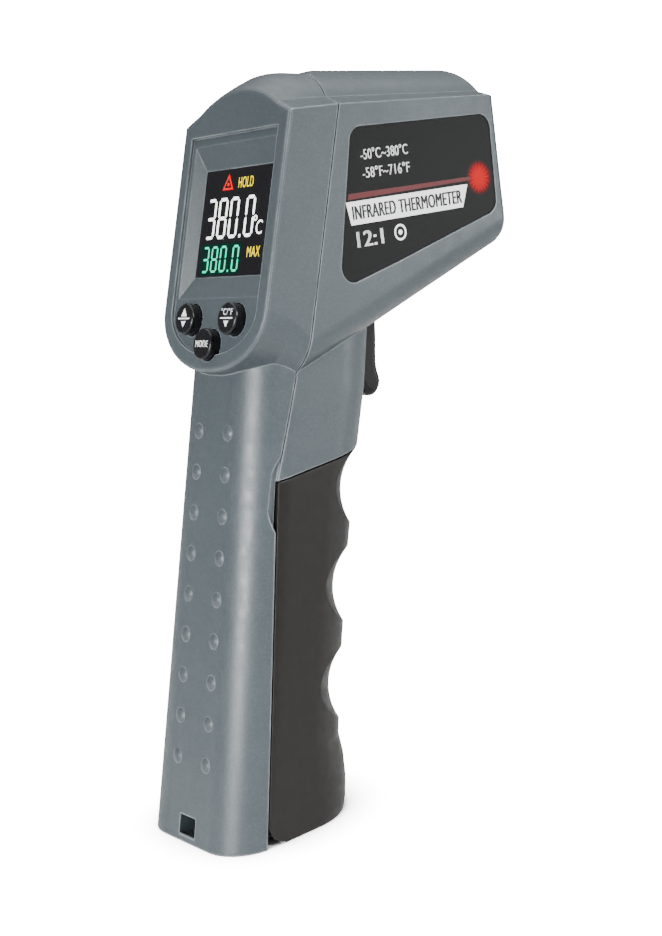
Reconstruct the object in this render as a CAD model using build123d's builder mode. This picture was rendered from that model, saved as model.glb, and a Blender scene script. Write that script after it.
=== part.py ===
from build123d import *
from math import cos, radians, sin, sqrt, tan
import os

os.makedirs("parts", exist_ok=True)

# Infrared thermometer, pistol form. Millimetres, origin at the centre of the base,
# +X towards the nose, +Y to the left of someone holding it, +Z up.

# ---------------------------------------------------------------- driving dimensions
wall = 2.0                      # shell thickness
gap = 0.35                      # clearance round the battery door

# head
tilt = 18.0                     # display face leans forward from vertical
underside_slope = 19.2          # underside of the barrel rises towards the nose
rim_x, shoulder_z = 18.0, 144.0  # display face at shoulder height
seam_run = 12.5                 # display face to the shell seam, along X
nose_x, nose_shoulder_z = 75.0, 142.8
rim_foot_x, rim_foot_z = 1.98, 94.7      # lowest point of the display face
keel_x, keel_z = 12.8, 89.6     # lowest point of the head, where the underside turns upwards
head_half, nose_half = 18.5, 17.4
rim_round, nose_round = 0.8, 1.8
roof_height, hood_rim_height = 8.9, 6.0  # arched roof above the shoulders, and at the display face
hood_run, hood_steps = 7.0, (2.5, 4.5, 7.0)     # the roof rises over this depth, in these steps

# handle
rake = 14.4                     # handle leans forward from vertical
back_x = -19.4                  # back of the handle at the base
handle_depth = 34.8             # back to front, at the neck
# depth of the handle at heights up it: the foot, the waist behind the fingers, the neck
handle_depths = ((0.0, 34.9), (2.0, 35.3), (6.0, 35.1), (11.0, 34.1), (15.5, 32.5), (34.0, 32.2),
                 (55.0, 32.6), (74.0, 33.7), (86.0, 34.8), (112.0, 34.8))
base_half, half_taper = 17.7, 0.03
rear_radius, front_radius = 9.5, 13.5

# seam between the rear shell and the parts in front of it, on the handle
door_corner_x, door_corner_z = 5.3, 72.1
seam_base_x = -11.35
neck_joint_x, neck_joint_z = 13.2, 91.0
door_front_x, door_front_z = 40.0, 75.4
groove_half, groove_depth = 0.16, 0.5

# bumps up the handle's back, in two columns
bump_pitch, bump_rows, bump_first_z, bump_y = 8.2, 9, 16.1, 5.15
bump_sphere, bump_sink = 2.5, 2.0

# thumb notches beside the battery door's upper corners
notch_x, notch_z, notch_radius, notch_floor = 16.9, 66.0, 14.5, 14.4

# finger scoops
scoops = ((62.8, 19.7), (43.0, 19.5), (23.0, 20.0))  # height, and floor's distance from the axis
scoop_radius, scoop_axis = 13.0, 10.8   # the scoops' axis stands this far in front of the handle's back

# display and buttons, in the display face's plane
bezel_depth, lcd_depth = 4.2, 4.9
recess_depth, panel_depth = 2.6, 0.7
lcd_width, lcd_height, lcd_thickness = 25.8, 25.2, 2.2
window_width, window_height, window_v = 23.5, 22.3, -20.7
recess_width, recess_height, recess_v = 30.2, 35.6, -20.6
button_radius, button_travel, button_proud = 3.25, 0.6, 1.7
button_places = {"up": (7.7, -41.2), "unit": (-7.7, -41.2), "mode": (0.0, -46.4)}
board_depth, board_thickness = 7.5, 1.0
board_screw_places = ((-11.8, -4.4), (11.8, -4.4), (-12.7, -35.9), (12.7, -35.9))
boss_radius = 1.6
flange_radius, flange_top, flange_thickness = 3.7, 4.25, 0.7
well_radius = 4.1
switch_top, switch_side = 5.9, 4.2

# barrel
lens_z, laser_z = 132.6, 120.2
tube_radius, tube_bore, laser_radius = 8.6, 7.0, 3.0
tube_rear, tube_front = 40.0, 71.0
lens_radius, lens_thickness = 7.75, 0.8
sensor_radius = 4.5
lug_y, lug_v, lug_root, lug_tip = 14.7, -18.0, 7.5, 24.4
lug_thickness, lug_height = 1.6, 13.0
side_taper_x, side_taper = 27.0, 1.29   # X where the barrel starts to narrow, and its angle
label_depth, label_thickness = 0.9, 0.6
label_outline = ((32.6, 139.2), (72.6, 138.9), (72.0, 118.2), (41.0, 110.9), (24.8, 107.4))
label_corner = 3.2
case_screw_places = ((34.0, 123.6), (31.7, 116.6))
nose_window_z, nose_window_width, nose_window_height = 129.0, 23.0, 25.0

# trigger
pivot_x, pivot_z, pivot_pin_radius = 41.5, 111.0, 1.25
trigger_half, slot_half = 4.4, 4.9
trigger_lug_z, trigger_lug_x = 95.7, 33.5
switch_front_x, switch_gap = 31.0, 0.4
spring_seat_x, spring_z = 27.4, 86.2
coil_wire, coil_radius, coil_turns = 0.25, 2.0, 6

# door hinge
hinge_x, hinge_z, hinge_pin_radius = -6.6, 3.6, 1.0
arm_half = 6.0
heel_radius = 3.3
lanyard_width = 5.7

# battery
cell_radius, cell_length, cell_y, cell_u = 5.25, 44.5, 5.9, -4.0
tray_low, tray_high, tray_front, tray_half = 12.5, 64.5, 1.6, 12.2
tray_end, contact_thickness = 1.5, 0.4
tray_back = 10.6                # tray's rear face, behind the handle's middle plane
tray_screw_places = ((22.0, 0.0), (54.0, 0.0))
nub_radius, nub_length = 1.9, 1.0
spring_wire, spring_radius, spring_turns = 0.3, 3.0, 4

# screws: pilot holes in plastic, shanks and pan heads
pilot_radius, shank_radius, head_radius = 0.85, 0.8, 1.8

# wiring
battery_lead_radius, sensor_lead_radius = 0.55, 0.4


# ---------------------------------------------------------------- planes and lines
def back_at(z):
    """X of the handle's back at height z."""
    return back_x + z * tan(radians(rake))


def half_at(z):
    """Half width of the handle at height z."""
    return base_half - half_taper * z


def face_plane(x, z, lean):
    """Cross-section plane of the head: local x is +Y, local y is up, normal is forward."""
    return Plane(origin=(x, 0, z), x_dir=(0, 1, 0), z_dir=(cos(radians(lean)), 0, -sin(radians(lean))))


def side_plane(side, y, x=0.0, taper=0.0):
    """Plane facing outwards on one side, +1 left or -1 right: local x is -side times X, local y is up."""
    lean = radians(taper)
    return Plane(
        origin=(x, side * y, 0),
        x_dir=(-side * cos(lean), sin(lean), 0),
        z_dir=(sin(lean), side * cos(lean), 0),
    )


def underside_v(x, z, lean, foot, slope, inset):
    """Height, in a head cross-section, of a sloping underside through foot, moved in by inset."""
    foot_x, foot_z = foot
    low = foot_z + inset * sqrt(1 + slope**2)
    drop = low - z + (x - foot_x) * slope
    return drop / (cos(radians(lean)) - slope * sin(radians(lean)))


rim = face_plane(rim_x, shoulder_z, tilt)
handle_frame = Plane(
    origin=(back_x + handle_depth / 2, 0, 0),
    x_dir=(cos(radians(rake)), 0, -sin(radians(rake))),
    z_dir=(sin(radians(rake)), 0, cos(radians(rake))),
)
handle_wall = Plane(
    origin=handle_frame.origin,
    x_dir=(sin(radians(rake)), 0, cos(radians(rake))),
    z_dir=(-cos(radians(rake)), 0, sin(radians(rake))),
)
seam_line = [
    (seam_base_x - 12 * 0.231, -12.0),
    (door_corner_x, door_corner_z),
    (neck_joint_x, neck_joint_z),
    (neck_joint_x + 60 * tan(radians(tilt)), neck_joint_z + 60),
]


def side_block(points, half=30.0):
    """A block with the given outline seen from the side (x, z)."""
    with BuildPart() as block:
        with BuildSketch(Plane.XZ):
            with BuildLine():
                Polyline(points, close=True)
            make_face()
        extrude(amount=half, both=True)
    return block.part


def save(piece, name):
    """Label a finished piece and write it."""
    piece.part.label = name
    export_step(piece.part, f"parts/{name}.step")


# ---------------------------------------------------------------- outer forms
def edge_steps(radius):
    """Depth and inset of the cross-sections that round an end edge, from the end inwards."""
    return [(radius * (1 - sin(radians(a))), radius * (1 - cos(radians(a)))) for a in (90, 60, 30, 0)]


def hood_height(depth):
    """Height of the arched roof above the shoulders, rounded down towards the display face."""
    turn = min(1.0, depth / hood_run) * 90
    return hood_rim_height + (roof_height - hood_rim_height) * sin(radians(turn))


def head_form(inset=0.0, rear_inset=None):
    """Head and barrel: U-shaped face with an arched roof, squarer and narrower at the nose."""
    if rear_inset is None:
        rear_inset = inset
    fall = (keel_z - rim_foot_z) / (keel_x - rim_foot_x)
    rise = tan(radians(underside_slope))
    rear = (shoulder_z, tilt, fall, head_half, 17.5, 12.4, 13.8, 2.1)
    middle = (shoulder_z, tilt, rise, head_half, 13.0, 10.0, 13.8, 1.9, roof_height)
    nose = (nose_shoulder_z, 0.0, rise, nose_half, 6.0, 6.0, 13.4, 1.2, 7.2)
    steps = [(rear_inset + depth, inset + shrink) for depth, shrink in edge_steps(rim_round)]
    steps += [(depth, inset) for depth in hood_steps if depth > rear_inset + rim_round]
    stations = [
        (rim_x + depth / cos(radians(tilt)), shrink, rear + (hood_height(depth),)) for depth, shrink in steps
    ]
    stations.append((rim_x + seam_run, inset, middle))
    stations += [
        (nose_x - inset - depth, inset + shrink, nose)
        for depth, shrink in reversed(edge_steps(nose_round))
    ]
    with BuildPart() as form:
        for x, shrink, (z, lean, slope, half, corner_y, corner_v, roof_half, ledge, roof) in stations:
            bottom = underside_v(x, z, lean, (keel_x, keel_z), slope, shrink)
            side = half - shrink
            corner_y, corner_v = corner_y - shrink, corner_v - shrink
            flat = side - corner_y
            roof_half, ledge, roof = roof_half - shrink * 0.4, ledge - shrink, roof - shrink
            with BuildSketch(face_plane(x, z, lean)):
                with BuildLine():
                    Polyline((-side, bottom + corner_v), (-side, -shrink), (-roof_half, ledge))
                    ThreePointArc((-roof_half, ledge), (0, roof), (roof_half, ledge))
                    Polyline((roof_half, ledge), (side, -shrink), (side, bottom + corner_v))
                    EllipticalCenterArc((flat, bottom + corner_v), corner_y, corner_v, 270, arc_size=90)
                    Line((flat, bottom), (-flat, bottom))
                    EllipticalCenterArc((-flat, bottom + corner_v), corner_y, corner_v, 180, arc_size=90)
                make_face()
        loft(ruled=True)
    return form.part


def handle_form(inset=0.0, bottom=0.0):
    """Raked handle, round at the front and back."""
    heights = [(max(z, bottom), depth) for z, depth in handle_depths if z == 0 or z > bottom + 0.5]
    with BuildPart() as form:
        for z, depth in heights:
            with BuildSketch(Plane.XY.offset(z)):
                with Locations((back_at(z) + depth / 2, 0)):
                    Rectangle(depth - 2 * inset, 2 * (half_at(z) - inset))
                fillet(vertices().group_by(Axis.X)[0], radius=rear_radius - inset)
                fillet(vertices().group_by(Axis.X)[-1], radius=front_radius - inset)
        loft(ruled=True)
    return form.part


def finger_scoops(grow=0.0):
    """Rings whose inner sides cut the finger scoops round the front of the handle."""
    with BuildPart() as rings:
        for z, floor in scoops:
            axis_x = back_at(z) + scoop_axis
            with BuildSketch(Plane.XZ):
                with Locations((axis_x + floor + scoop_radius, z)):
                    Circle(scoop_radius + grow)
            revolve(axis=Axis((axis_x, 0, z), (sin(radians(rake)), 0, cos(radians(rake)))))
    return rings.part


outer_form = head_form() + handle_form()
inner_handle = split(handle_form(wall, wall), bisect_by=rim.offset(bezel_depth), keep=Keep.TOP)
inner_form = head_form(wall + 0.4, bezel_depth) + inner_handle
rear_region = side_block([(-60, -12)] + seam_line + [(-60, 170)])
front_region = side_block(
    [(door_corner_x, door_corner_z)]
    + seam_line[2:]
    + [(120, 170), (120, 60), (door_front_x, door_front_z)]
)
door_region = side_block(
    [
        (seam_line[0][0] + gap, -12),
        (door_corner_x + gap - 0.08, door_corner_z - gap),
        (door_front_x, door_front_z - gap),
        (60, door_front_z - gap),
        (60, -12),
    ]
)

# A fine groove marks the seam between the two shells.
groove_band = side_block(
    [(x - groove_half, z) for x, z in seam_line[1:]]
    + [(x + groove_half, z) for x, z in reversed(seam_line[1:])]
)
seam_groove = groove_band - (head_form(groove_depth) + handle_form(groove_depth))


# ---------------------------------------------------------------- rear shell
with BuildPart() as recess:
    with BuildSketch(rim):
        with Locations((0, recess_v)):
            Rectangle(recess_width, recess_height)
    with BuildSketch(rim.offset(recess_depth)):
        with Locations((0, window_v)):
            Rectangle(window_width + 0.2, window_height + 0.2)
    loft(ruled=True)

with BuildPart() as button_panel:
    with BuildSketch(rim):
        with Locations((0, -39.4)):
            Ellipse(15.2, 9.1)
        with Locations((0, -21.1)):
            Rectangle(30.4, 36.6)
    extrude(amount=panel_depth)

with BuildPart() as rear_shell:
    add(outer_form)
    for row in range(bump_rows):
        z = bump_first_z + row * bump_pitch
        for y in (-bump_y, bump_y):
            with Locations((back_at(z) + bump_sink, y, z)):
                Sphere(bump_sphere)
    add(inner_form, mode=Mode.SUBTRACT)
    add(rear_region, mode=Mode.INTERSECT)
    add(seam_groove, mode=Mode.SUBTRACT)
    # display recess, window opening and button holes
    add(recess.part, mode=Mode.SUBTRACT)
    add(button_panel.part, mode=Mode.SUBTRACT)
    with BuildSketch(rim):
        with Locations((0, window_v)):
            Rectangle(window_width + 0.1, window_height + 0.1)
        with Locations(*button_places.values()):
            Circle(button_radius + 0.15)
    extrude(amount=bezel_depth + 0.5, mode=Mode.SUBTRACT)
    with BuildSketch(rim.offset(bezel_depth)):
        with Locations(*button_places.values()):
            Circle(well_radius)
    extrude(amount=board_depth - bezel_depth, mode=Mode.SUBTRACT)
    # bosses for the main board
    with BuildSketch(rim.offset(bezel_depth - 0.5)):
        with Locations(*board_screw_places):
            Circle(boss_radius)
    extrude(amount=board_depth - bezel_depth + 0.5)
    with BuildSketch(rim.offset(bezel_depth)):
        with Locations(*board_screw_places):
            Circle(pilot_radius)
    extrude(amount=board_depth - bezel_depth, mode=Mode.SUBTRACT)
    # lugs that reach into the front shell and take the case screws
    for side in (-1, 1):
        with BuildSketch(rim.offset(lug_root)):
            with Locations((side * (lug_y + 0.6), lug_v)):
                Rectangle(lug_thickness + 1.2, lug_height)
        extrude(amount=11.4 - lug_root)
        with BuildSketch(rim.offset(lug_root)):
            with Locations((side * lug_y, lug_v)):
                Rectangle(lug_thickness, lug_height)
        extrude(amount=lug_tip - lug_root)
    # bosses for the battery tray
    with BuildSketch(handle_wall.offset(tray_back)):
        with Locations(*tray_screw_places):
            Circle(2.6)
    extrude(amount=5.0)
    with BuildSketch(handle_wall.offset(tray_back)):
        with Locations(*tray_screw_places):
            Circle(pilot_radius)
    extrude(amount=4.0, mode=Mode.SUBTRACT)
    # case screw holes in the lugs
    for side in (-1, 1):
        for x, z in case_screw_places:
            with BuildSketch(side_plane(side, 12.0)):
                with Locations((-side * x, z)):
                    Circle(pilot_radius)
            extrude(amount=4.5, mode=Mode.SUBTRACT)
    # hinge arm for the battery door, and the lanyard tunnel beside it
    with BuildSketch(Plane.XZ):
        with Locations((hinge_x, hinge_z)):
            Circle(2.4)
        with Locations(((hinge_x - 17.0) / 2, hinge_z)):
            Rectangle(17.0 + hinge_x, 4.8)
    extrude(amount=arm_half, both=True)
    with BuildSketch(Plane.XZ):
        with Locations((hinge_x, hinge_z)):
            Circle(hinge_pin_radius + 0.01)
    extrude(amount=arm_half, both=True, mode=Mode.SUBTRACT)
    with Locations((-17.5, 0, 3.8), (-14.5, 0, 2.0)):
        Box(9.0, lanyard_width, 3.0, mode=Mode.SUBTRACT)
    # thumb notches at the door's upper rear corners
    for side in (-1, 1):
        with BuildSketch(side_plane(side, notch_floor)):
            with Locations((-side * notch_x, notch_z)):
                Circle(notch_radius)
        extrude(amount=6.0, mode=Mode.SUBTRACT)
save(rear_shell, "rear_shell")


# ---------------------------------------------------------------- front shell
with BuildPart() as barrel_rib:
    with BuildSketch(Plane.YZ.offset(56.0)):
        with Locations((0, 131.0)):
            Rectangle(40, 48)
        with Locations((0, lens_z)):
            Circle(tube_radius + 0.05, mode=Mode.SUBTRACT)
        with Locations((0, laser_z)):
            Circle(laser_radius + 0.05, mode=Mode.SUBTRACT)
    extrude(amount=1.6)

with BuildPart() as inner_supports:
    # ears for the trigger pin
    for side in (-1, 1):
        with Locations((pivot_x, side * 6.2, 106.5)):
            Box(8.0, 2.2, 16.2)
    # ribs that grip the trigger switch
    for side in (-1, 1):
        with Locations((27.7, side * 9.8, 96.0)):
            Box(5.6, 13.0, 5.0)
    # wall behind the trigger spring
    with Locations((spring_seat_x - 1.2, 0, spring_z)):
        Box(2.4, 32.0, 6.2)

with BuildPart() as front_shell:
    add(outer_form)
    add(inner_form - barrel_rib.part, mode=Mode.SUBTRACT)
    add(outer_form & inner_supports.part)
    add(front_region, mode=Mode.INTERSECT)
    add(seam_groove, mode=Mode.SUBTRACT)
    # label pockets and the case screws' holes under them
    for side in (-1, 1):
        with BuildSketch(side_plane(side, head_half, side_taper_x, side_taper).offset(-label_depth)):
            with BuildLine():
                Polyline([(-side * (x - side_taper_x), z) for x, z in label_outline], close=True)
            make_face()
            fillet(vertices(), radius=label_corner)
        extrude(amount=2.0, mode=Mode.SUBTRACT)
        for x, z in case_screw_places:
            with BuildSketch(side_plane(side, 14.0)):
                with Locations((-side * x, z)):
                    Circle(1.1)
            extrude(amount=5.0, mode=Mode.SUBTRACT)
            with BuildSketch(side_plane(side, 16.5)):
                with Locations((-side * x, z)):
                    Circle(1.95)
            extrude(amount=2.0, mode=Mode.SUBTRACT)
    # window in the nose
    with BuildSketch(Plane.YZ.offset(nose_x - 4.0)):
        with Locations((0, nose_window_z)):
            RectangleRounded(nose_window_width, nose_window_height, 8.0)
    extrude(amount=6.0, mode=Mode.SUBTRACT)
    # trigger slot in the neck and the underside
    with BuildSketch(Plane.XZ):
        with BuildLine():
            Polyline(
                [(29, 80.8), (45, 80.8), (47.2, 104), (47.2, 112), (35.5, 112), (35.5, 100.5), (29, 100.5)],
                close=True,
            )
        make_face()
    extrude(amount=slot_half, both=True, mode=Mode.SUBTRACT)
    add(inner_form & inner_supports.part)
    with BuildSketch(Plane.XZ):
        with Locations((pivot_x, pivot_z)):
            Circle(pivot_pin_radius + 0.01)
    extrude(amount=9.0, both=True, mode=Mode.SUBTRACT)
save(front_shell, "front_shell")

# ---------------------------------------------------------------- battery door
door_cavity = handle_form(wall, wall) - finger_scoops(wall)
with BuildPart() as battery_door:
    add(handle_form())
    add(finger_scoops(), mode=Mode.SUBTRACT)
    add(door_cavity, mode=Mode.SUBTRACT)
    add(door_region, mode=Mode.INTERSECT)
    # rounded heel that clears the rear shell as the door swings
    with BuildSketch(Plane.XZ):
        with Locations((hinge_x - 5.0, hinge_z - 5.0)):
            Rectangle(10, 10)
        with Locations((hinge_x, hinge_z)):
            Circle(heel_radius, mode=Mode.SUBTRACT)
    extrude(amount=20.0, both=True, mode=Mode.SUBTRACT)
    # notch round the rear shell's hinge arm
    with Locations((hinge_x - 1.2, 0, 2.0)):
        Box(8.0, 2 * arm_half + 0.8, 10.0, mode=Mode.SUBTRACT)
    for side in (-1, 1):
        with BuildSketch(side_plane(side, arm_half + 0.4)):
            with Locations((-side * hinge_x, hinge_z)):
                Circle(2.4)
            with Locations((-side * hinge_x, hinge_z - 1.5)):
                Rectangle(4.8, 3.0)
        extrude(amount=4.0)
    with BuildSketch(Plane.XZ):
        with Locations((hinge_x, hinge_z)):
            Circle(hinge_pin_radius + 0.05)
    extrude(amount=12.0, both=True, mode=Mode.SUBTRACT)
save(battery_door, "battery_door")

with BuildPart() as door_hinge_pin:
    with BuildSketch(Plane.XZ):
        with Locations((hinge_x, hinge_z)):
            Circle(hinge_pin_radius)
    extrude(amount=10.2, both=True)
save(door_hinge_pin, "door_hinge_pin")

# ---------------------------------------------------------------- battery tray and cells
with BuildPart() as battery_tray:
    with BuildSketch(handle_frame.offset(tray_low)):
        with Locations(((tray_front - tray_back) / 2, 0)):
            RectangleRounded(tray_front + tray_back, 2 * tray_half, 1.5)
    extrude(amount=tray_high - tray_low)
    with BuildSketch(handle_frame.offset(tray_low + tray_end)):
        with Locations((0, 0)):
            Rectangle(2 * (tray_back - 1.2), 2 * (tray_half - 1.0))
    extrude(amount=tray_high - tray_low - 2 * tray_end, mode=Mode.SUBTRACT)
    with BuildSketch(handle_wall.offset(tray_back - 3.0)):
        with Locations(*tray_screw_places):
            Circle(1.0)
    extrude(amount=4.0, mode=Mode.SUBTRACT)
save(battery_tray, "battery_tray")

with BuildPart() as tray_screws:
    with BuildSketch(handle_wall.offset(tray_back - 2.2)):
        with Locations(*tray_screw_places):
            Circle(1.7)
    extrude(amount=1.0)
    with BuildSketch(handle_wall.offset(tray_back - 1.2)):
        with Locations(*tray_screw_places):
            Circle(shank_radius)
    extrude(amount=5.0)
save(tray_screws, "tray_screws")

cell_low = tray_low + tray_end + contact_thickness
cell_high = tray_high - tray_end - contact_thickness
spring_room = cell_high - cell_low - cell_length


def battery_cell(y, nub_up):
    """A cell with its positive nub against a plate, and room for a spring at the other end."""
    base = cell_low + spring_room if nub_up else cell_low + nub_length
    nub = base + cell_length - nub_length if nub_up else cell_low
    with BuildPart() as cell:
        with BuildSketch(handle_frame.offset(base)):
            with Locations((cell_u, y)):
                Circle(cell_radius)
        extrude(amount=cell_length - nub_length)
        fillet(edges().filter_by(GeomType.CIRCLE), radius=0.5)
        with BuildSketch(handle_frame.offset(nub)):
            with Locations((cell_u, y)):
                Circle(nub_radius)
        extrude(amount=nub_length)
    return cell


save(battery_cell(cell_y, True), "battery_left")
save(battery_cell(-cell_y, False), "battery_right")

with BuildPart() as contact_plates:
    for w in (tray_low + tray_end, cell_high):
        with BuildSketch(handle_frame.offset(w)):
            with Locations((cell_u, -cell_y), (cell_u, cell_y)):
                Rectangle(8.0, 8.0)
        extrude(amount=contact_thickness)
save(contact_plates, "contact_plates")

def coil_spring(foot, direction, height, radius, wire, turns):
    """A helical spring standing on a point, out along a direction."""
    with BuildPart() as coil:
        with BuildLine():
            turn = Helix(height / turns, height, radius, center=foot, direction=direction)
        with BuildSketch(Plane(origin=turn @ 0, z_dir=turn % 0)):
            Circle(wire)
        sweep(is_frenet=True)
    return coil.part


with BuildPart() as contact_springs:
    for y, low in ((cell_y, cell_low), (-cell_y, cell_high - spring_room)):
        foot = handle_frame.from_local_coords((cell_u, y, low + spring_wire + 0.05))
        height = spring_room - 2 * spring_wire - 0.1
        add(coil_spring(foot, handle_frame.z_dir, height, spring_radius, spring_wire, spring_turns))
save(contact_springs, "contact_springs")

# ---------------------------------------------------------------- display and buttons
with BuildPart() as display_window:
    with BuildSketch(rim.offset(recess_depth)):
        with Locations((0, window_v)):
            Rectangle(window_width, window_height)
    extrude(amount=bezel_depth - recess_depth + 0.02)
    with BuildSketch(rim.offset(bezel_depth + 0.02)):
        with Locations((0, window_v)):
            Rectangle(window_width + 2.2, window_height + 2.0)
    extrude(amount=0.68)
save(display_window, "display_window")

with BuildPart() as lcd_panel:
    with BuildSketch(rim.offset(lcd_depth)):
        with Locations((0, window_v)):
            Rectangle(lcd_width, lcd_height)
    extrude(amount=lcd_thickness)
save(lcd_panel, "lcd_panel")

with BuildPart() as display_connector:
    with BuildSketch(rim.offset(lcd_depth + lcd_thickness)):
        with Locations((0, -31.5)):
            Rectangle(18.0, 2.5)
    extrude(amount=board_depth - lcd_depth - lcd_thickness)
save(display_connector, "display_connector")

half_board = [
    (13.7, -2.4), (13.7, -31.0), (14.2, -31.0), (14.2, -37.4),
    (12.0, -39.5), (10.0, -41.6), (7.8, -46.0), (5.5, -48.4),
]
board_outline = half_board + [(-u, v) for u, v in reversed(half_board)]
with BuildPart() as main_board:
    with BuildSketch(rim.offset(board_depth)):
        with BuildLine():
            Polyline(board_outline, close=True)
        make_face()
        with Locations(*board_screw_places):
            Circle(1.0, mode=Mode.SUBTRACT)
    extrude(amount=board_thickness)
save(main_board, "main_board")

with BuildPart() as board_screws:
    with BuildSketch(rim.offset(board_depth + board_thickness)):
        with Locations(*board_screw_places):
            Circle(1.4)
    extrude(amount=1.0)
    with BuildSketch(rim.offset(board_depth - 2.8)):
        with Locations(*board_screw_places):
            Circle(shank_radius)
    extrude(amount=2.8 + board_thickness)
save(board_screws, "board_screws")

with BuildPart() as board_chips:
    for u, v, width, height in ((0, -14, 7, 7), (-7.5, -26, 5, 4), (7, -6, 3, 5), (0, -42, 4, 3)):
        with BuildSketch(rim.offset(board_depth + board_thickness)):
            with Locations((u, v)):
                Rectangle(width, height)
        extrude(amount=1.1)
save(board_chips, "board_chips")

with BuildPart() as buzzer:
    with BuildSketch(rim.offset(board_depth + board_thickness)):
        with Locations((5.5, -28.0)):
            Circle(5.0)
    extrude(amount=4.0)
    with BuildSketch(rim.offset(board_depth + board_thickness + 3.2)):
        with Locations((5.5, -28.0)):
            Circle(1.0)
    extrude(amount=1.0, mode=Mode.SUBTRACT)
save(buzzer, "buzzer")

with BuildPart() as button_switches:
    with BuildSketch(rim.offset(switch_top)):
        with Locations(*button_places.values()):
            Rectangle(switch_side, switch_side)
    extrude(amount=board_depth - switch_top)
    with BuildSketch(rim.offset(switch_top)):
        with Locations(*button_places.values()):
            Circle(1.4)
    extrude(amount=1.4, mode=Mode.SUBTRACT)
save(button_switches, "button_switches")

for name, place in button_places.items():
    with BuildPart() as button:
        with BuildSketch(rim.offset(-button_proud)):
            with Locations(place):
                Circle(button_radius)
        extrude(amount=button_proud + flange_top)
        fillet(edges().filter_by(GeomType.CIRCLE).sort_by(Axis(rim.origin, rim.z_dir))[0], radius=0.45)
        with BuildSketch(rim.offset(flange_top)):
            with Locations(place):
                Circle(flange_radius)
        extrude(amount=flange_thickness)
    save(button, f"button_{name}")
    with BuildPart() as plunger:
        with BuildSketch(rim.offset(flange_top + flange_thickness)):
            with Locations(place):
                Circle(1.3)
        extrude(amount=1.6)
    save(plunger, f"plunger_{name}")

# ---------------------------------------------------------------- labels and case screws
for side, name in ((1, "label_left"), (-1, "label_right")):
    with BuildPart() as label:
        with BuildSketch(side_plane(side, head_half, side_taper_x, side_taper).offset(-label_depth)):
            with BuildLine():
                Polyline([(-side * (x - side_taper_x), z) for x, z in label_outline], close=True)
            make_face()
            fillet(vertices(), radius=label_corner)
            offset(amount=-0.12)
        extrude(amount=label_thickness)
    save(label, name)

with BuildPart() as case_screws:
    for side in (-1, 1):
        for x, z in case_screw_places:
            with BuildSketch(side_plane(side, 12.4)):
                with Locations((-side * x, z)):
                    Circle(shank_radius)
            extrude(amount=4.1)
            with BuildSketch(side_plane(side, 16.5)):
                with Locations((-side * x, z)):
                    Circle(head_radius)
            extrude(amount=0.8)
save(case_screws, "case_screws")

# ---------------------------------------------------------------- optics
with BuildPart() as nose_ring:
    with BuildSketch(Plane.YZ.offset(nose_x - 2.4)):
        with Locations((0, nose_window_z)):
            RectangleRounded(nose_window_width - 0.1, nose_window_height - 0.1, 7.9)
    extrude(amount=1.9)
    with BuildSketch(Plane.YZ.offset(nose_x - 4.0)):
        with Locations((0, nose_window_z)):
            RectangleRounded(nose_window_width + 2.4, nose_window_height + 0.6, 9.0)
    extrude(amount=1.6)
    with BuildSketch(Plane.YZ.offset(nose_x - 0.5)):
        with Locations((0, lens_z)):
            Circle(7.4)
    with BuildSketch(Plane.YZ.offset(nose_x - 4.0)):
        with Locations((0, lens_z)):
            Circle(6.2)
    loft(mode=Mode.SUBTRACT)
    with BuildSketch(Plane.YZ.offset(nose_x - 4.0)):
        with Locations((0, laser_z)):
            Circle(1.3)
    extrude(amount=4.0, mode=Mode.SUBTRACT)
    with BuildSketch(Plane.YZ.offset(nose_x - 1.6)):
        with Locations((0, laser_z)):
            Circle(2.0)
    extrude(amount=2.0, mode=Mode.SUBTRACT)
save(nose_ring, "nose_ring")

with BuildPart() as optical_tube:
    with BuildSketch(Plane.YZ.offset(tube_rear)):
        with Locations((0, lens_z)):
            Circle(tube_radius)
    extrude(amount=tube_front - tube_rear)
    with BuildSketch(Plane.YZ.offset(tube_rear + 2.0)):
        with Locations((0, lens_z)):
            Circle(tube_bore)
    extrude(amount=tube_front - tube_rear, mode=Mode.SUBTRACT)
    with BuildSketch(Plane.YZ.offset(tube_front - lens_thickness)):
        with Locations((0, lens_z)):
            Circle(lens_radius + 0.05)
    extrude(amount=2.0, mode=Mode.SUBTRACT)
    with BuildSketch(Plane.YZ.offset(tube_rear)):
        with Locations((0, lens_z)):
            Circle(sensor_radius + 0.1)
    extrude(amount=2.0, mode=Mode.SUBTRACT)
save(optical_tube, "optical_tube")

with BuildPart() as lens:
    with BuildSketch(Plane.YZ.offset(tube_front - lens_thickness)):
        with Locations((0, lens_z)):
            Circle(lens_radius)
    extrude(amount=lens_thickness)
save(lens, "lens")

with BuildPart() as infrared_sensor:
    with BuildSketch(Plane.YZ.offset(tube_rear - 1.5)):
        with Locations((0, lens_z)):
            Circle(sensor_radius)
    extrude(amount=4.5)
    fillet(edges().filter_by(GeomType.CIRCLE).sort_by(Axis.X)[-1], radius=0.5)
save(infrared_sensor, "infrared_sensor")

with BuildPart() as sensor_board:
    with BuildSketch(Plane.YZ.offset(tube_rear - 3.0)):
        with Locations((0, lens_z)):
            RectangleRounded(16.0, 16.0, 1.5)
    extrude(amount=1.5)
save(sensor_board, "sensor_board")

with BuildPart() as laser_module:
    with BuildSketch(Plane.YZ.offset(50.0)):
        with Locations((0, laser_z)):
            Circle(laser_radius)
    extrude(amount=tube_front - 50.0)
    with BuildSketch(Plane.YZ.offset(tube_front - 1.5)):
        with Locations((0, laser_z)):
            Circle(1.2)
    extrude(amount=2.0, mode=Mode.SUBTRACT)
save(laser_module, "laser_module")

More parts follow.
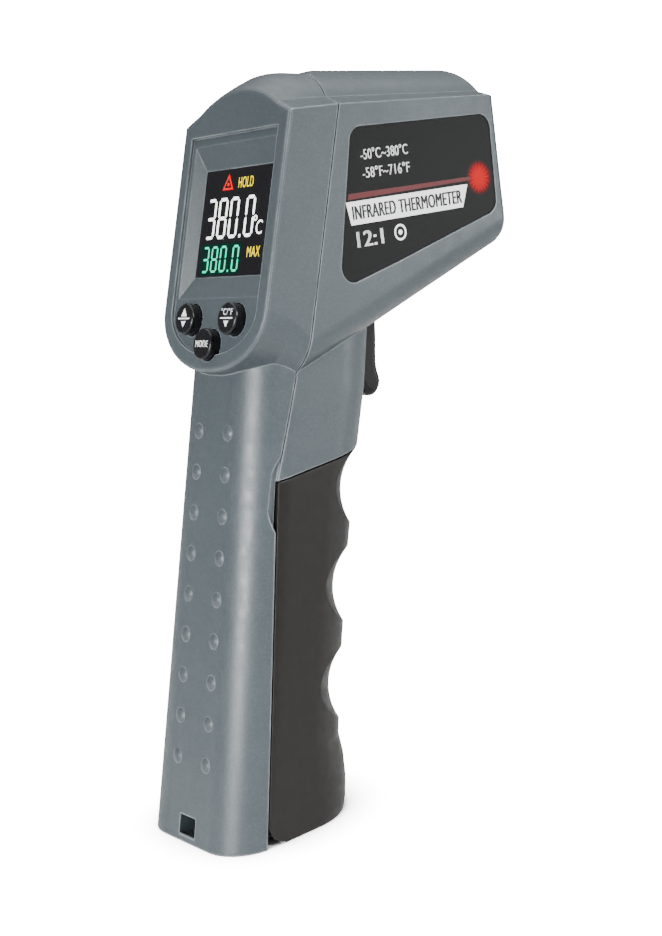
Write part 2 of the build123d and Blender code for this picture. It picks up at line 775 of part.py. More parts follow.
with BuildPart() as laser_window:
    with BuildSketch(Plane.YZ.offset(nose_x - 1.6)):
        with Locations((0, laser_z)):
            Circle(1.95)
    extrude(amount=0.7)
save(laser_window, "laser_window")

# ---------------------------------------------------------------- trigger
with BuildPart() as trigger:
    with BuildSketch(Plane.XZ):
        with BuildLine():
            front = Spline(
                (46.0, 111.0), (45.6, 102.0), (44.5, 92.5), (44.1, 87.6),
                (44.4, 84.9), (42.6, 82.5), (39.6, 83.2),
            )
            Polyline(front @ 1, (38.7, 86.0), (38.7, 101.0), (38.4, 111.0), front @ 0)
        make_face()
        with Locations((pivot_x, pivot_z)):
            Circle(3.3)
    extrude(amount=trigger_half, both=True)
    fillet(edges().filter_by(GeomType.BSPLINE), radius=1.6)
    with Locations(((trigger_lug_x + 39.0) / 2, 0, trigger_lug_z)):
        Box(39.0 - trigger_lug_x, 4.4, 3.0)
    with BuildSketch(Plane.XZ):
        with Locations((pivot_x, pivot_z)):
            Circle(pivot_pin_radius + 0.05)
    extrude(amount=10.0, both=True, mode=Mode.SUBTRACT)
save(trigger, "trigger")

with BuildPart() as trigger_pin:
    with BuildSketch(Plane.XZ):
        with Locations((pivot_x, pivot_z)):
            Circle(pivot_pin_radius)
    extrude(amount=7.3, both=True)
save(trigger_pin, "trigger_pin")

with BuildPart() as trigger_switch:
    with Locations((switch_front_x - 3.25, 0, 96.0)):
        Box(6.5, 6.4, 12.8)
    with BuildSketch(Plane.YZ.offset(switch_front_x - 3.0)):
        with Locations((0, trigger_lug_z)):
            Circle(1.2)
    extrude(amount=3.0, mode=Mode.SUBTRACT)
save(trigger_switch, "trigger_switch")

with BuildPart() as switch_plunger:
    with BuildSketch(Plane.YZ.offset(switch_front_x - 1.3)):
        with Locations((0, trigger_lug_z)):
            Circle(1.1)
    extrude(amount=trigger_lug_x - switch_gap - switch_front_x + 1.3)
save(switch_plunger, "switch_plunger")

coil_length = 38.7 - spring_seat_x - 2 * coil_wire - 0.1
with BuildPart() as trigger_spring:
    foot = (spring_seat_x + coil_wire + 0.05, 0, spring_z)
    add(coil_spring(foot, (1, 0, 0), coil_length, coil_radius, coil_wire, coil_turns))
save(trigger_spring, "trigger_spring")

# ---------------------------------------------------------------- wiring
def wire(points, radius, bend):
    """A lead of round section with rounded corners."""
    with BuildPart() as lead:
        with BuildLine() as route:
            FilletPolyline(*points, radius=bend)
        with BuildSketch(Plane(origin=route.line @ 0, z_dir=route.line % 0)):
            Circle(radius)
        sweep()
    return lead.part


tray_top = handle_frame.offset(tray_high)
with BuildPart() as battery_leads:
    for y in (-2.5, 2.5):
        start = tray_top.from_local_coords((-5.0, y, 0))
        rise = tray_top.from_local_coords((-5.0, y, 14.0))
        end = rim.from_local_coords((y, -47.6, board_depth + board_thickness))
        stand_off = rim.from_local_coords((y, -47.6, board_depth + board_thickness + 4.0))
        add(wire([start, rise, stand_off, end], battery_lead_radius, 1.8))
save(battery_leads, "battery_leads")

with BuildPart() as sensor_leads:
    for y in (-3.0, -1.0, 1.0, 3.0):
        start = rim.from_local_coords((y, -6.0, board_depth + board_thickness))
        stand_off = rim.from_local_coords((y, -6.0, board_depth + board_thickness + 4.0))
        add(wire([start, stand_off, (32.0, y, 137.0), (tube_rear - 3.0, y, 137.0)], sensor_lead_radius, 1.5))
save(sensor_leads, "sensor_leads")
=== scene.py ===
from math import cos, pi, radians, sin

import bmesh
import bpy
from mathutils import Matrix, Vector


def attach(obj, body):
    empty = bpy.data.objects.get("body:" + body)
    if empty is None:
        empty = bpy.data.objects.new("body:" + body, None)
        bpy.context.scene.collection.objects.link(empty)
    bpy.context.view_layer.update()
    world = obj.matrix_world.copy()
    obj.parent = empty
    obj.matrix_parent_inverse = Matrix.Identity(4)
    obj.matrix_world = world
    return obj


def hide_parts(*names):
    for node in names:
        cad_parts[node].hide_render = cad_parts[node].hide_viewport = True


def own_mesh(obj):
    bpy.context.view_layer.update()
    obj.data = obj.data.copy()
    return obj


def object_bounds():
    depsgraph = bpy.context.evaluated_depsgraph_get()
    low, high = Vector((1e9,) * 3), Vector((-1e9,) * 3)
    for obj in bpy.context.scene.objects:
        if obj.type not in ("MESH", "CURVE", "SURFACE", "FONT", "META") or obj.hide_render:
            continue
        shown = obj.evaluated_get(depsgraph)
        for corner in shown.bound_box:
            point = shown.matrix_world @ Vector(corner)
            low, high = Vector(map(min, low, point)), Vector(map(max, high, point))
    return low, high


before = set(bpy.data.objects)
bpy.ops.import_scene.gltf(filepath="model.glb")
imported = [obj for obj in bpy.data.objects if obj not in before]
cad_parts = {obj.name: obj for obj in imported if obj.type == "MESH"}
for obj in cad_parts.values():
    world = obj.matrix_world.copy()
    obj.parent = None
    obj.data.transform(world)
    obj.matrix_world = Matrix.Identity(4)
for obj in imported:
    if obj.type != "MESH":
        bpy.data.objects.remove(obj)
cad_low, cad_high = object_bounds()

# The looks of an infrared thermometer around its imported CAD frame. Metres, +X to the nose,
# +Z up; flat graphics are laid out in millimetres and scaled by MM.
MM = 0.001
UP = Vector((0, 0, 1))

# ---------------------------------------------------------------- planes of the object
TILT = radians(18.0)             # the display face leans forward
SHOULDER = Vector((18.0, 0.0, 144.0)) * MM
FACE_RIGHT = Vector((0, -1, 0))
FACE_UP = Vector((sin(TILT), 0, cos(TILT)))
FACE_OUT = FACE_RIGHT.cross(FACE_UP)
RECESS_DEPTH = 2.6 * MM
BUTTON_PROUD = 1.7 * MM
BUTTONS = {"up": (-7.7, -41.2), "unit": (7.7, -41.2), "mode": (0.0, -46.4)}

SIDE_TAPER = radians(1.29)
SIDE_START = Vector((27.0, 18.5, 0.0)) * MM
LABEL_SINK = 0.3 * MM
LASER_DOT = (67.6, 125.6)

HANDLE_RAKE = radians(14.4)
PRINT = 0.03                     # thickness of printed graphics, in millimetres


def layout(origin, right, up):
    """Matrix from a flat layout in millimetres to its place on the object."""
    out = right.cross(up)
    turn = Matrix((right, up, out)).transposed().to_4x4()
    return Matrix.Translation(origin) @ turn @ Matrix.Scale(MM, 4)


def face_layout(depth, a=0.0, b=0.0):
    """Layout on the display face, sunk by depth, about the point a to the right and b up."""
    origin = SHOULDER - FACE_OUT * depth + (FACE_RIGHT * a + FACE_UP * b) * MM
    return layout(origin, FACE_RIGHT, FACE_UP)


def label_layout(side, x, z):
    """Layout on a side label, +1 left or -1 right, about the point x forward and z up."""
    out = Vector((sin(SIDE_TAPER), side * cos(SIDE_TAPER), 0))
    forward = Vector((cos(SIDE_TAPER), -side * sin(SIDE_TAPER), 0))
    start = Vector((SIDE_START.x, side * SIDE_START.y, 0))
    origin = start - out * LABEL_SINK + forward * (x * MM - SIDE_START.x) + UP * z * MM
    return layout(origin, forward * -side, UP)


# ---------------------------------------------------------------- material building blocks
def blank(name):
    """A new material, its nodes, its links and its Principled shader."""
    made = bpy.data.materials.new(name)
    made.use_nodes = True
    tree = made.node_tree
    return made, tree.nodes, tree.links, tree.nodes["Principled BSDF"]


def noise(nodes, links, where, scale, detail=2.0, stretch=None):
    """A noise value over the surface, stretched along an axis if asked."""
    if stretch:
        mapping = nodes.new("ShaderNodeMapping")
        mapping.inputs["Scale"].default_value = stretch
        links.new(where, mapping.inputs["Vector"])
        where = mapping.outputs["Vector"]
    texture = nodes.new("ShaderNodeTexNoise")
    texture.inputs["Scale"].default_value = scale
    texture.inputs["Detail"].default_value = detail
    links.new(where, texture.inputs["Vector"])
    return texture.outputs["Fac"]


def remap(nodes, links, value, low, high, to_low, to_high):
    """Value taken from the range low to high into to_low to to_high, clamped."""
    node = nodes.new("ShaderNodeMapRange")
    node.inputs["From Min"].default_value = low
    node.inputs["From Max"].default_value = high
    node.inputs["To Min"].default_value = to_low
    node.inputs["To Max"].default_value = to_high
    links.new(value, node.inputs["Value"])
    return node.outputs["Result"]


def blend_colours(nodes, links, amount, first, second):
    """A mix of two colours, each a tuple or a socket."""
    node = nodes.new("ShaderNodeMix")
    node.data_type = "RGBA"
    links.new(amount, node.inputs["Factor"])
    for socket, colour in ((node.inputs[6], first), (node.inputs[7], second)):
        if isinstance(colour, tuple):
            socket.default_value = (*colour, 1)
        else:
            links.new(colour, socket)
    return node.outputs[2]


def edge_mask(nodes, links, radius):
    """Rounded-edge normal, and a value that is 1 on sharp edges and 0 on open faces."""
    rounded = nodes.new("ShaderNodeBevel")
    rounded.samples = 6
    rounded.inputs["Radius"].default_value = radius
    geometry = nodes.new("ShaderNodeNewGeometry")
    dot = nodes.new("ShaderNodeVectorMath")
    dot.operation = "DOT_PRODUCT"
    links.new(rounded.outputs["Normal"], dot.inputs[0])
    links.new(geometry.outputs["Normal"], dot.inputs[1])
    sharp = remap(nodes, links, dot.outputs["Value"], 1.0, 0.9, 0.0, 1.0)
    return rounded.outputs["Normal"], sharp


def crevice_mask(nodes, links, reach):
    """A value that is 1 deep in grooves and corners and 0 in the open, from occlusion; it is used to paint
    shade there.
    """
    occlusion = nodes.new("ShaderNodeAmbientOcclusion")
    occlusion.samples = 6
    occlusion.only_local = True
    occlusion.inputs["Distance"].default_value = reach
    return remap(nodes, links, occlusion.outputs["AO"], 0.75, 0.25, 0.0, 1.0)


def moulded(
    name, tint, shade, edge, roughness, grain, grain_height, radius=0.0003, edge_wear_and_highlight=0.5, painted_groove_shade=0.8, specular=0.5
):
    """Moulded plastic: drifting colour, fine grain, paler edges that are partly wear and partly a painted
    highlight, and painted shade in the grooves.
    """
    made, nodes, links, shader = blank(name)
    shader.inputs["Specular IOR Level"].default_value = specular
    where = nodes.new("ShaderNodeTexCoord").outputs["Object"]
    drift = noise(nodes, links, where, 40.0, 3.0)
    drifted = remap(nodes, links, drift, 0.35, 0.65, 0.0, 1.0)
    colour = blend_colours(nodes, links, drifted, tint, shade)
    speckle = noise(nodes, links, where, 2400.0, 2.0)
    speckled = remap(nodes, links, speckle, 0.45, 0.8, 0.0, 0.05)
    colour = blend_colours(nodes, links, speckled, colour, edge)
    normal, sharp = edge_mask(nodes, links, radius)
    # paler edges: partly real wear, partly a painted highlight laid along sharp edges
    patchy = noise(nodes, links, where, 160.0, 3.0)
    worn_and_highlit = nodes.new("ShaderNodeMath")
    worn_and_highlit.operation = "MULTIPLY"
    links.new(sharp, worn_and_highlit.inputs[0])
    links.new(remap(nodes, links, patchy, 0.3, 0.7, 0.4 * edge_wear_and_highlight, edge_wear_and_highlight), worn_and_highlit.inputs[1])
    colour = blend_colours(nodes, links, worn_and_highlit.outputs["Value"], colour, edge)
    # painted shade: grooves, seams and corners are darkened by how much they are occluded
    deep = crevice_mask(nodes, links, 0.0012)
    dark = tuple(0.25 * part for part in shade)
    strength = nodes.new("ShaderNodeMath")
    strength.operation = "MULTIPLY"
    strength.inputs[1].default_value = painted_groove_shade
    links.new(deep, strength.inputs[0])
    colour = blend_colours(nodes, links, strength.outputs["Value"], colour, dark)
    links.new(colour, shader.inputs["Base Color"])
    cloudy = noise(nodes, links, where, 420.0, 3.0)
    gloss = remap(nodes, links, cloudy, 0.3, 0.7, roughness - 0.05, roughness + 0.06)
    links.new(gloss, shader.inputs["Roughness"])
    bump = nodes.new("ShaderNodeBump")
    bump.inputs["Strength"].default_value = 0.6
    bump.inputs["Distance"].default_value = grain_height
    links.new(noise(nodes, links, where, grain, 3.0), bump.inputs["Height"])
    links.new(normal, bump.inputs["Normal"])
    links.new(bump.outputs["Normal"], shader.inputs["Normal"])
    return made


def metal(name, tint, shade, roughness, stretch=(1, 1, 12)):
    """Brushed or drawn metal with fine streaks."""
    made, nodes, links, shader = blank(name)
    shader.inputs["Metallic"].default_value = 1.0
    where = nodes.new("ShaderNodeTexCoord").outputs["Object"]
    streak = noise(nodes, links, where, 900.0, 4.0, stretch)
    colour = blend_colours(nodes, links, remap(nodes, links, streak, 0.3, 0.7, 0.0, 1.0), tint, shade)
    links.new(colour, shader.inputs["Base Color"])
    links.new(
        remap(nodes, links, streak, 0.3, 0.7, roughness - 0.07, roughness + 0.1),
        shader.inputs["Roughness"],
    )
    bump = nodes.new("ShaderNodeBump")
    bump.inputs["Strength"].default_value = 0.3
    bump.inputs["Distance"].default_value = 0.00002
    links.new(streak, bump.inputs["Height"])
    links.new(bump.outputs["Normal"], shader.inputs["Normal"])
    return made


def smoked_glass(name, tint, roughness):
    """Dark polished window with faint smears in its gloss."""
    made, nodes, links, shader = blank(name)
    where = nodes.new("ShaderNodeTexCoord").outputs["Object"]
    smear = noise(nodes, links, where, 90.0, 3.0, (1, 3, 1))
    colour = blend_colours(nodes, links, smear, tint, tuple(part * 1.6 for part in tint))
    links.new(colour, shader.inputs["Base Color"])
    links.new(
        remap(nodes, links, smear, 0.35, 0.7, roughness, roughness + 0.1), shader.inputs["Roughness"]
    )
    shader.inputs["Specular IOR Level"].default_value = 0.25
    shader.inputs["Coat Weight"].default_value = 0.08
    shader.inputs["Coat Roughness"].default_value = 0.05
    return made


def clear_glass(name, tint, roughness):
    """Clear or tinted optical glass."""
    made, nodes, links, shader = blank(name)
    where = nodes.new("ShaderNodeTexCoord").outputs["Object"]
    haze = noise(nodes, links, where, 200.0, 2.0)
    colour = blend_colours(nodes, links, haze, tint, tuple(min(1.0, part * 1.1) for part in tint))
    links.new(colour, shader.inputs["Base Color"])
    links.new(
        remap(nodes, links, haze, 0.3, 0.7, roughness, roughness + 0.04), shader.inputs["Roughness"]
    )
    shader.inputs["Transmission Weight"].default_value = 0.85
    shader.inputs["IOR"].default_value = 1.49
    return made


def glowing(name, colour, strength):
    """A lit display segment with a slight unevenness; on the label's printed burst the same emission is a
    painted glow.
    """
    made, nodes, links, shader = blank(name)
    where = nodes.new("ShaderNodeTexCoord").outputs["Object"]
    uneven = noise(nodes, links, where, 500.0, 2.0)
    lit = blend_colours(nodes, links, uneven, tuple(0.88 * part for part in colour), colour)
    links.new(lit, shader.inputs["Base Color"])
    links.new(lit, shader.inputs["Emission Color"])
    shader.inputs["Emission Strength"].default_value = strength
    shader.inputs["Specular IOR Level"].default_value = 0.1
    shader.inputs["Roughness"].default_value = 0.4
    return made


def printed(name, colour, roughness=0.45):
    """Screen-printed ink with a faintly broken surface."""
    made, nodes, links, shader = blank(name)
    where = nodes.new("ShaderNodeTexCoord").outputs["Object"]
    grain = noise(nodes, links, where, 2600.0, 2.0)
    broken = remap(nodes, links, grain, 0.55, 0.85, 0.0, 0.35)
    ink = blend_colours(nodes, links, broken, colour, tuple(0.8 * part for part in colour))
    links.new(ink, shader.inputs["Base Color"])
    gloss = remap(nodes, links, grain, 0.3, 0.7, roughness - 0.05, roughness + 0.1)
    links.new(gloss, shader.inputs["Roughness"])
    return made


def label_film(name, tint, glow):
    """Charcoal label film with a red glow printed round the laser dot."""
    made, nodes, links, shader = blank(name)
    where = nodes.new("ShaderNodeTexCoord").outputs["Object"]
    grain = noise(nodes, links, where, 1800.0, 3.0)
    grainy = remap(nodes, links, grain, 0.3, 0.7, 0.0, 1.0)
    colour = blend_colours(nodes, links, grainy, tint, tuple(1.35 * part for part in tint))
    shader.inputs["Specular IOR Level"].default_value = 0.12
    flat = nodes.new("ShaderNodeVectorMath")
    flat.operation = "MULTIPLY"
    flat.inputs[1].default_value = (1, 0, 1)
    links.new(where, flat.inputs[0])
    away = nodes.new("ShaderNodeVectorMath")
    away.operation = "DISTANCE"
    away.inputs[1].default_value = (LASER_DOT[0] * MM, 0, LASER_DOT[1] * MM)
    links.new(flat.outputs["Vector"], away.inputs[0])
    fade = nodes.new("ShaderNodeMapRange")
    fade.interpolation_type = "SMOOTHERSTEP"
    fade.inputs["From Min"].default_value = 1.0 * MM
    fade.inputs["From Max"].default_value = 4.2 * MM
    fade.inputs["To Min"].default_value = 1.0
    fade.inputs["To Max"].default_value = 0.0
    links.new(away.outputs["Value"], fade.inputs["Value"])
    colour = blend_colours(nodes, links, fade.outputs["Result"], colour, glow)
    links.new(colour, shader.inputs["Base Color"])
    links.new(remap(nodes, links, grain, 0.3, 0.7, 0.38, 0.5), shader.inputs["Roughness"])
    bump = nodes.new("ShaderNodeBump")
    bump.inputs["Strength"].default_value = 0.3
    bump.inputs["Distance"].default_value = 0.00002
    links.new(grain, bump.inputs["Height"])
    links.new(bump.outputs["Normal"], shader.inputs["Normal"])
    return made


def circuit_board(name):
    """Green solder mask with paler copper tracks under it."""
    made, nodes, links, shader = blank(name)
    where = nodes.new("ShaderNodeTexCoord").outputs["Object"]
    tracks = nodes.new("ShaderNodeTexVoronoi")
    tracks.feature = "DISTANCE_TO_EDGE"
    tracks.inputs["Scale"].default_value = 420.0
    links.new(where, tracks.inputs["Vector"])
    line = remap(nodes, links, tracks.outputs["Distance"], 0.03, 0.06, 1.0, 0.0)
    colour = blend_colours(nodes, links, line, (0.012, 0.10, 0.035), (0.06, 0.26, 0.10))
    links.new(colour, shader.inputs["Base Color"])
    links.new(remap(nodes, links, line, 0.0, 1.0, 0.35, 0.25), shader.inputs["Roughness"])
    bump = nodes.new("ShaderNodeBump")
    bump.inputs["Strength"].default_value = 0.5
    bump.inputs["Distance"].default_value = 0.00004
    links.new(line, bump.inputs["Height"])
    links.new(bump.outputs["Normal"], shader.inputs["Normal"])
    return made


def cell_wrap(name):
    """Plain battery sleeve: dark body, a copper-coloured band and bright ends."""
    made, nodes, links, shader = blank(name)
    where = nodes.new("ShaderNodeTexCoord").outputs["Object"]
    along = nodes.new("ShaderNodeVectorMath")
    along.operation = "DOT_PRODUCT"
    along.inputs[1].default_value = (sin(HANDLE_RAKE), 0, cos(HANDLE_RAKE))
    links.new(where, along.inputs[0])
    band = remap(nodes, links, along.outputs["Value"], 0.0455, 0.0459, 0.0, 1.0)
    grain = noise(nodes, links, where, 1200.0, 2.0)
    body = blend_colours(nodes, links, grain, (0.010, 0.010, 0.012), (0.022, 0.022, 0.025))
    links.new(blend_colours(nodes, links, band, body, (0.55, 0.26, 0.10)), shader.inputs["Base Color"])
    links.new(remap(nodes, links, band, 0.0, 1.0, 0.0, 0.9), shader.inputs["Metallic"])
    links.new(remap(nodes, links, grain, 0.3, 0.7, 0.25, 0.38), shader.inputs["Roughness"])
    return made


SHELL = moulded(
    "shell_plastic", (0.049, 0.062, 0.070), (0.043, 0.055, 0.062), (0.34, 0.38, 0.40), 0.38, 2200.0, 0.00002,
    radius=0.0005, edge_wear_and_highlight=0.8, specular=0.45,
)
GRIP = moulded(
    "grip_plastic", (0.0042, 0.0033, 0.0025), (0.0030, 0.0023, 0.0018), (0.03, 0.026, 0.022),
    0.46, 1800.0, 0.00002, radius=0.0004, edge_wear_and_highlight=0.3, specular=0.34,
)
DARK = moulded(
    "dark_plastic", (0.008, 0.008, 0.009), (0.006, 0.006, 0.007), (0.05, 0.05, 0.055), 0.42, 1800.0, 0.00002,
    specular=0.35,
)
BUTTON = moulded(
    "button_rubber", (0.0035, 0.0035, 0.0045), (0.0025, 0.0025, 0.0035), (0.05, 0.05, 0.06),
    0.26, 1500.0, 0.00001, edge_wear_and_highlight=0.3, specular=0.4,
)
TRIGGER = moulded(
    "trigger_plastic", (0.005, 0.0048, 0.0046), (0.004, 0.0038, 0.0036), (0.05, 0.05, 0.05),
    0.40, 1800.0, 0.00002, specular=0.25,
)
CHIP = moulded(
    "chip_epoxy", (0.012, 0.012, 0.013), (0.009, 0.009, 0.010), (0.06, 0.06, 0.06), 0.5, 3000.0, 0.00002,
)
LEAD = moulded(
    "lead_insulation", (0.30, 0.015, 0.012), (0.24, 0.012, 0.010), (0.45, 0.08, 0.06), 0.4, 2500.0, 0.00001,
)
RUBBER = moulded(
    "soft_rubber", (0.06, 0.045, 0.03), (0.045, 0.035, 0.025), (0.15, 0.12, 0.10), 0.6, 2500.0, 0.00002,
)
STEEL = metal("bright_steel", (0.62, 0.62, 0.62), (0.48, 0.48, 0.49), 0.28)
BRASS = metal("turned_brass", (0.78, 0.57, 0.24), (0.62, 0.44, 0.18), 0.26)
CONTACT = metal("nickel_contact", (0.72, 0.69, 0.62), (0.58, 0.56, 0.51), 0.25)
GLASS = smoked_glass("display_glass", (0.004, 0.004, 0.005), 0.12)
PANEL = smoked_glass("display_panel_glass", (0.010, 0.012, 0.012), 0.2)
LENS = clear_glass("infrared_lens", (0.30, 0.26, 0.34), 0.08)
CLEAR = clear_glass("laser_window_glass", (0.75, 0.30, 0.30), 0.03)
LABEL = label_film("label_film", (0.0062, 0.0068, 0.0066), (0.34, 0.0, 0.002))
BOARD = circuit_board("circuit_board")
CELL = cell_wrap("cell_wrap")
WHITE_INK = printed("white_ink", (0.93, 0.94, 0.94))
BLACK_INK = printed("black_ink", (0.012, 0.012, 0.012))
RED_INK = printed("red_ink", (0.075, 0.001, 0.003))
WHITE_LIT = glowing("white_segments", (1.0, 1.0, 1.0), 1.8)
GREEN_LIT = glowing("green_segments", (0.01, 0.66, 0.36), 0.9)
GREEN_HALO = glowing("green_halo", (0.0, 0.012, 0.008), 0.5)
YELLOW_LIT = glowing("yellow_segments", (0.85, 0.66, 0.0), 0.9)
RED_LIT = glowing("red_segments", (0.72, 0.0, 0.0), 0.6)
# painted glow: the printed burst on the side labels emits light, though it is print and no lamp
BURST_PAINTED_GLOW = glowing("burst_red_painted_glow", (0.36, 0.0, 0.0), 0.45)

FINISHES = {
    SHELL: ("rear_shell", "front_shell"),
    GRIP: ("battery_door",),
    DARK: ("battery_tray", "nose_ring", "optical_tube", "trigger_switch", "switch_plunger", "buzzer"),
    BUTTON: ("button_up", "button_unit", "button_mode"),
    TRIGGER: ("trigger",),
    CHIP: ("board_chips", "button_switches"),
    LEAD: ("battery_leads", "sensor_leads"),
    RUBBER: ("display_connector", "plunger_up", "plunger_unit", "plunger_mode"),
    STEEL: (
        "door_hinge_pin", "tray_screws", "board_screws", "case_screws", "trigger_pin",
        "infrared_sensor",
    ),
    BRASS: ("laser_module",),
    CONTACT: ("contact_plates", "contact_springs"),
    GLASS: ("display_window",),
    PANEL: ("lcd_panel",),
    LENS: ("lens",),
    CLEAR: ("laser_window",),
    LABEL: ("label_left", "label_right"),
    BOARD: ("main_board", "sensor_board"),
    CELL: ("battery_left", "battery_right"),
}


def dress_nodes():
    """Give each CAD node its finish."""
    for finish, names in FINISHES.items():
        for name in names:
            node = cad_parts[name]
            for place in node.material_slots:
                place.material = finish


# ---------------------------------------------------------------- flat graphics
def add_mesh(name, mesh, place, finish, body):
    """Put a finished mesh on the object, riding on a body."""
    mesh.transform(place)
    mesh.materials.clear()
    mesh.materials.append(finish)
    piece = bpy.data.objects.new(name, mesh)
    bpy.context.scene.collection.objects.link(piece)
    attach(piece, body)
    return piece


def prints(name, outlines, place, finish, body, thickness=PRINT):
    """Thin raised shapes, each from one closed outline given anticlockwise."""
    shape = bmesh.new()
    for outline in outlines:
        low = [shape.verts.new((a, b, 0.0)) for a, b in outline]
        high = [shape.verts.new((a, b, thickness)) for a, b in outline]
        shape.faces.new(high)
        shape.faces.new(list(reversed(low)))
        count = len(outline)
        for i in range(count):
            j = (i + 1) % count
            shape.faces.new((low[i], low[j], high[j], high[i]))
    bmesh.ops.recalc_face_normals(shape, faces=shape.faces)
    mesh = bpy.data.meshes.new(name)
    shape.to_mesh(mesh)
    shape.free()
    return add_mesh(name, mesh, place, finish, body)


def ring(points, inner):
    """Outlines of the quads between an outline and a smaller copy of it."""
    count = len(points)
    return [
        [points[i], points[(i + 1) % count], inner[(i + 1) % count], inner[i]] for i in range(count)
    ]


def circle(radius, a=0.0, b=0.0, sides=40):
    """Points of a circle."""
    return [
        (a + radius * cos(2 * pi * i / sides), b + radius * sin(2 * pi * i / sides)) for i in range(sides)
    ]


def lettering(name, words, place, width, height, finish, body, bold=0.0):
    """Generic words as thin raised letters, fitted to a width and height about their centre.

    Bold letters have their strokes widened sideways by bold to each side, in millimetres.
    """
    curve = bpy.data.curves.new(name, "FONT")
    curve.body = words
    curve.extrude = 0.5
    curve.space_character = 1.06
    draft = bpy.data.objects.new(name + "_draft", curve)
    bpy.context.scene.collection.objects.link(draft)
    graph = bpy.context.evaluated_depsgraph_get()
    mesh = bpy.data.meshes.new_from_object(draft.evaluated_get(graph))
    mesh.name = name
    bpy.data.objects.remove(draft)
    low = [min(v.co[i] for v in mesh.vertices) for i in range(3)]
    high = [max(v.co[i] for v in mesh.vertices) for i in range(3)]
    centre = Vector([(low[i] + high[i]) / 2 for i in range(2)] + [low[2]])
    size = (width / (high[0] - low[0]), height / (high[1] - low[1]), PRINT / (high[2] - low[2]))
    mesh.transform(Matrix.Diagonal((*size, 1)) @ Matrix.Translation(-centre))
    if bold:
        letters = bmesh.new()
        for shift in (-bold, 0.0, bold):
            copy = mesh.copy()
            copy.transform(Matrix.Translation((shift, 0, 0)))
            letters.from_mesh(copy)
            bpy.data.meshes.remove(copy)
        letters.to_mesh(mesh)
        letters.free()
    return add_mesh(name, mesh, place, finish, body)


SEGMENTS = {"0": "abcdef", "3": "abcdg", "8": "abcdefg"}


def bar(a0, b0, a1, b1, thick):
    """A display segment with pointed ends, between two points along a or b."""
    half = thick / 2
    if b0 == b1:
        return [
            (a0, b0), (a0 + half, b0 - half), (a1 - half, b0 - half),
            (a1, b0), (a1 - half, b0 + half), (a0 + half, b0 + half),
        ]
    return [
        (a0, b0), (a0 + half, b0 + half), (a0 + half, b1 - half),
        (a0, b1), (a0 - half, b1 - half), (a0 - half, b0 + half),
    ]


def digit(symbol, a, b, width, height, thick):
    """Segments of one digit with its lower left corner at a, b."""
    left, right = a + thick / 2, a + width - thick / 2
    bottom, middle, top = b + thick / 2, b + height / 2, b + height - thick / 2
    slack = thick * 0.2
    spans = {
        "a": (left + slack, top, right - slack, top),
        "b": (right, middle + slack, right, top - slack),
        "c": (right, bottom + slack, right, middle - slack),
        "d": (left + slack, bottom, right - slack, bottom),
        "e": (left, bottom + slack, left, middle - slack),
        "f": (left, middle + slack, left, top - slack),
        "g": (left + slack, middle, right - slack, middle),
    }
    return [bar(*spans[segment], thick) for segment in SEGMENTS[symbol]]


def reading(a0, a1, b, height, thick):
    """Segments and point of the reading 380.0 between a0 and a1."""
    gap = 0.35 * thick + 0.62
    width = (a1 - a0 - 4 * gap - thick) / 4
    shapes = []
    a = a0
    for symbol in "380":
        shapes += digit(symbol, a, b, width, height, thick)
        a += width + gap
    shapes.append([(a, b), (a + thick, b), (a + thick, b + thick), (a, b + thick)])
    shapes += digit("0", a + thick + gap, b, width, height, thick)
    return shapes


def display_graphics():
    """What the lit display shows, laid on its window."""
    window = face_layout(RECESS_DEPTH)
    prints(
        "reading_segments", reading(-9.9, 7.0, -24.0, 8.5, 0.66), window, WHITE_LIT, "body"
    )
    lettering("unit_sign", "C", face_layout(RECESS_DEPTH, 9.2, -22.2), 2.1, 2.9, WHITE_LIT, "body")
    prints(
        "degree_sign", ring(circle(0.6, 7.6, -20.3, 20), circle(0.3, 7.6, -20.3, 20)), window, WHITE_LIT,
        "body",
    )
    prints(
        "second_halo", [[(-10.4, -31.5), (3.8, -31.5), (3.8, -25.0), (-10.4, -25.0)]], window, GREEN_HALO,
        "body", 0.012,
    )
    prints("second_segments", reading(-9.8, 3.2, -31.0, 5.5, 0.48), window, GREEN_LIT, "body")
    place = face_layout(RECESS_DEPTH, 8.2, -27.1)
    lettering("highest_word", "MAX", place, 4.4, 2.1, YELLOW_LIT, "body")
    place = face_layout(RECESS_DEPTH, 2.8, -12.6)
    lettering("hold_word", "HOLD", place, 5.2, 2.2, YELLOW_LIT, "body")
    outer = [(-5.4, -13.9), (-1.5, -13.9), (-3.45, -10.5)]
    inner = [(-4.65, -13.45), (-2.25, -13.45), (-3.45, -11.35)]
    prints("laser_sign", ring(outer, inner), window, RED_LIT, "body")
    prints("laser_sign_spot", [circle(0.38, -3.45, -12.75, 20)], window, RED_LIT, "body")


